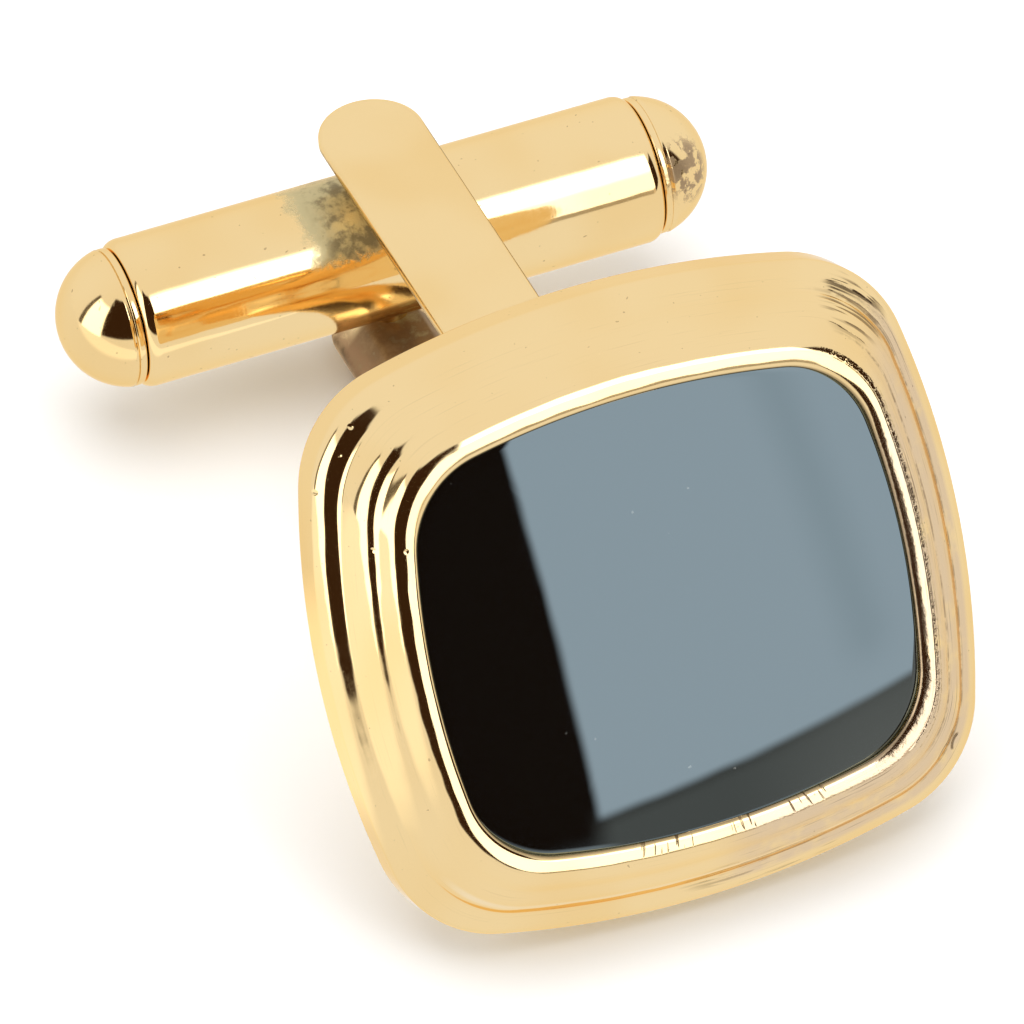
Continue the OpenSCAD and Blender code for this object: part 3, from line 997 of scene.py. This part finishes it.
def toggle_material():
    """Barrel and caps: bright, with a green-grey patch beside the arm, a painted orange reflection beside it
    and a stain on the right cap.
    """
    metal = Metal("toggle_gold", POLISHED)
    metal.raise_by(metal.noise(metal.place, *TOGGLE_WAVE), TOGGLE_WAVE_HEIGHT)
    metal.raise_by(metal.noise(metal.place, *TOGGLE_TURNED), TOGGLE_TURNED_HEIGHT)
    mottled = metal.noise(metal.place, *TOGGLE_MOTTLING)
    fine = metal.noise(metal.place, *TOGGLE_FINE)

    # A green-grey matte patch on the barrel under and beside the arm, darker just left of the arm, with a
    # raised crust.
    ragged_x = metal.math("ADD", metal.x, metal.range(mottled, *NOISE_SPREAD, *PATCH_WOBBLE_X))
    ragged_y = metal.math("ADD", metal.y, metal.range(fine, *NOISE_SPREAD, *PATCH_WOBBLE_Y))
    patch = metal.both(metal.smooth(ragged_x, *PATCH_FROM_X), metal.smooth(ragged_x, *PATCH_TO_X),
                       metal.smooth(metal.z, *PATCH_Z), metal.smooth(ragged_y, *PATCH_Y))
    metal.lay(patch, OLIVE_GREY, rough=0.40, metal=0.6, strength=0.8)
    dark = metal.both(patch, metal.smooth(metal.x, *DARK_X), metal.smooth(mottled, *DARK_SHOWS))
    metal.lay(dark, OLIVE_DARK, rough=0.5, metal=0.4, strength=0.8)
    crust = metal.both(metal.band(metal.x, *CRUST_X), metal.smooth(metal.y, *CRUST_Y), fine)
    metal.raise_by(crust, CRUST_HEIGHT)

    # Painted reflection: the orange spot right of the arm.
    metal.lay(metal.spot(metal.place, *AMBER_REFLECTION_SPOT), AMBER_PAINTED_REFLECTION, rough=0.25, strength=0.8)
    stained = metal.both(metal.spot(metal.place, *CAP_STAINED), metal.patches(metal.place, *BLOTCHES))
    metal.lay(stained, STAIN, rough=0.4, metal=0.5, strength=0.85)
    metal.lay(metal.patches(metal.place, *TOGGLE_SPECKS), GRIME_AND_SHADE, rough=0.4, strength=0.4)
    return metal.finish()


STONE_INDEX = 2.3
STONE_WAVE_HEIGHT = 0.0008
STONE_HAZE_SPREAD = (0.35, 0.7)
STONE_ROUGHNESS = (0.004, 0.02)


def stone_material():
    """Polished black stone with a trace of haze and a few specks of dust."""
    material = node_material("black_stone")
    web = Web(material.node_tree)
    place = web.mm_place()
    haze = web.range(web.noise(place, *STONE_HAZE), *STONE_HAZE_SPREAD, *STONE_ROUGHNESS)
    colour = web.mix(web.patches(place, *DUST), STONE_BLACK, STONE_DUST)
    relief = web.math("MULTIPLY", web.noise(place, *STONE_WAVE), STONE_WAVE_HEIGHT)
    web.shade("ShaderNodeBsdfPrincipled", {"Base Color": colour, "Roughness": haze, "IOR": STONE_INDEX,
                                           "Specular Tint": STONE_SHEEN, "Normal": web.bump(relief)})
    return material


# Studio, with lengths in metres

SKY_LIGHT = (0.95, 0.95, 0.95)
# Patches of the studio in the order they cover each other: azimuth and elevation ranges, how soft their
# edges are, and their light.
STUDIO_PATCHES = (
    ((-62, 34), (4, 64), 2.0, (0.040, 0.019, 0.009)),      # dark side behind the camera
    ((33, 67), (-1, 42), 2.0, (0.040, 0.019, 0.009)),
    ((10.6, 34), (-3, 6.3), 0.8, (0.46, 0.42, 0.37)),      # dim strip below the soft box
    ((20, 34), (-3, 6.3), 4.0, (0.75, 0.66, 0.58)),
    ((10.6, 34), (6.3, 75), 0.3, (2.0, 2.08, 2.2)),        # soft box at the right, brighter higher up
    ((10.9, 34), (34, 75), 4.0, (3.6, 3.7, 3.9)),
    ((23.5, 25.5), (8, 30), 1.2, (1.75, 1.85, 1.95)),      # fainter stripe down it
    ((-4, 45), (60, 95), 4.5, SKY_LIGHT),                  # ceiling above it
    ((-96, -62), (0, 48), 2.0, (2.4, 2.4, 2.35)),          # soft box at the left
    ((-103, -96), (0, 50), 1.5, (0.15, 0.13, 0.11)),       # its dark edge
)


def build_world():
    """The studio's light by direction: pale walls and ceiling, a dark side behind the camera, soft boxes."""
    world = bpy.data.worlds.new("studio")
    bpy.context.scene.world = world
    world.use_nodes = True
    # The studio has no small bright lights to search for, and renders faster without that search.
    world.cycles.sampling_method = "NONE"
    web = Web(world.node_tree)
    azimuth, split = web.azimuth(web.node("ShaderNodeTexCoord").outputs["Generated"])
    elevation = web.math("DEGREES", web.math("ARCSINE", split["Z"]))
    colour = SKY_LIGHT + (1.0,)
    for around, height, soft, light in STUDIO_PATCHES:
        mask = web.both(web.band(azimuth, *around, soft), web.band(elevation, *height, soft))
        colour = web.mix(mask, colour, light + (1.0,))
    web.shade("ShaderNodeBackground", {"Color": colour, "Strength": 1.0}, "ShaderNodeOutputWorld")


def studio_piece(name, bm, *unseen_by):
    """A piece of the studio that the named kinds of ray don't see, and the web of its material."""
    material = node_material(name)
    piece = bpy.data.objects.new(name, plain_mesh(name, bm))
    bpy.context.scene.collection.objects.link(piece)
    piece.data.materials.append(material)
    for ray in unseen_by:
        setattr(piece, "visible_" + ray, False)
    return piece, Web(material.node_tree)


FLOOR_COLOUR = (0.93, 0.93, 0.925, 1.0)
FLOOR_ROUGHNESS = 0.9
BACKDROP_LIGHT = (0.95, 0.95, 0.945, 1.0)
# The backdrop's radius, as a share of the floor's size.
BACKDROP_SHARE = 0.6
BACKDROP_SEGMENTS = 48
BACKDROP_RINGS = 24


def build_floor():
    """A plain pale floor, and a pale backdrop that only the camera sees."""
    bm = bmesh.new()
    bmesh.ops.create_grid(bm, x_segments=1, y_segments=1, size=FLOOR_SIZE / 2)
    floor, web = studio_piece("floor", bm)
    web.shade("ShaderNodeBsdfPrincipled", {"Base Color": FLOOR_COLOUR, "Roughness": FLOOR_ROUGHNESS})
    bm = bmesh.new()
    bmesh.ops.create_uvsphere(bm, u_segments=BACKDROP_SEGMENTS, v_segments=BACKDROP_RINGS,
                              radius=FLOOR_SIZE * BACKDROP_SHARE)
    backdrop, web = studio_piece("backdrop", bm, "diffuse", "glossy", "transmission", "shadow",
                                 "volume_scatter")
    web.shade("ShaderNodeEmission", {"Color": BACKDROP_LIGHT})


GLOW_RADIUS = 1.5
GLOW_HEIGHT = 0.00001
GLOW_SIDES = 96
GLOW_LIGHT = (0.93, 0.93, 0.93, 1.0)
GLOW_LIGHT_LEFT = (1.2, 1.2, 1.18, 1.0)
# The azimuths that the brighter light lies between, and how soft its edges are.
GLOW_LEFT = (-105.0, -58.0, 6.0)


def build_floor_glow():
    """The floor's light as the metal sees it: even, and brighter at the left. Only reflections show it."""
    bm = bmesh.new()
    turns = [2 * math.pi * i / GLOW_SIDES for i in range(GLOW_SIDES)]
    rim = [(math.cos(turn) * GLOW_RADIUS, math.sin(turn) * GLOW_RADIUS, GLOW_HEIGHT) for turn in turns]
    bm.faces.new([bm.verts.new(point) for point in rim])
    glow, web = studio_piece("floor_glow", bm, "camera", "diffuse", "transmission", "shadow",
                             "volume_scatter")
    azimuth, _ = web.azimuth(web.node("ShaderNodeTexCoord").outputs["Object"])
    left = web.band(azimuth, *GLOW_LEFT)
    web.shade("ShaderNodeEmission", {"Color": web.mix(left, GLOW_LIGHT, GLOW_LIGHT_LEFT)})


FILL_SIZE = 0.9
FILL_HEIGHT = 0.8
FILL_POWER = 4.0


def build_fill():
    """A soft light from above that whitens the floor and stays out of the reflections."""
    fill = bpy.data.objects.new("fill", bpy.data.lights.new("fill", "AREA"))
    bpy.context.scene.collection.objects.link(fill)
    fill.data.shape = "DISK"
    fill.data.size = FILL_SIZE
    fill.data.energy = FILL_POWER
    fill.location = (0.0, 0.0, FILL_HEIGHT)
    fill.visible_glossy = False
    fill.visible_camera = False


def build_camera():
    """The camera at the photo's angle."""
    azimuth, elevation = math.radians(VIEW_AZIMUTH), math.radians(VIEW_ELEVATION)
    back = Vector((math.sin(azimuth) * math.cos(elevation), -math.cos(azimuth) * math.cos(elevation),
                   math.sin(elevation)))
    camera = bpy.data.objects.new("camera", bpy.data.cameras.new("camera"))
    bpy.context.scene.collection.objects.link(camera)
    camera.data.lens = VIEW_LENS
    camera.data.clip_start, camera.data.clip_end = VIEW_CLIP
    look = (-back).to_track_quat("-Z", "Y").to_matrix().to_4x4()
    roll = Matrix.Rotation(math.radians(VIEW_ROLL), 4, "Z")
    camera.matrix_world = Matrix.Translation(VIEW_AIM + back * VIEW_DISTANCE) @ look @ roll
    bpy.context.scene.camera = camera


bpy.context.scene.view_settings.view_transform = "Standard"
build_camera()
build_world()
build_floor()
build_floor_glow()
build_fill()

face_gold = face_material()
fork_gold = fork_material()
toggle_gold = toggle_material()

new_piece("face_frame_metal", frame_mesh(), FACE_PLACE, "face", "gold_face", face_gold, "face_frame")
new_piece("fork_foot", foot_mesh(), FACE_PLACE, "face", "gold_face", face_gold, "face_frame")
new_piece("fork_stem", stem_mesh(), FORK_PLACE, "face", "gold_face", fork_gold, "face_frame")
new_piece("fork_arms", fork_mesh(), FORK_PLACE, "face", "gold_face", fork_gold, "face_frame")
new_piece("stone_dome", stone_mesh(), FACE_PLACE, "face", "black_stone", stone_material(), "stone")
new_piece("barrel_gold", barrel_mesh(), FORK_PLACE, "toggle", "gold_toggle", toggle_gold, "toggle_barrel")
for side, word in ((-1, "left"), (1, "right")):
    new_piece(f"cap_gold_{word}", cap_mesh(side), FORK_PLACE, "toggle", "gold_toggle", toggle_gold,
              f"toggle_cap_{word}")

pin = frame["nodes"]["pivot_pin"]
pin.data.materials.clear()
pin.data.materials.append(toggle_gold)
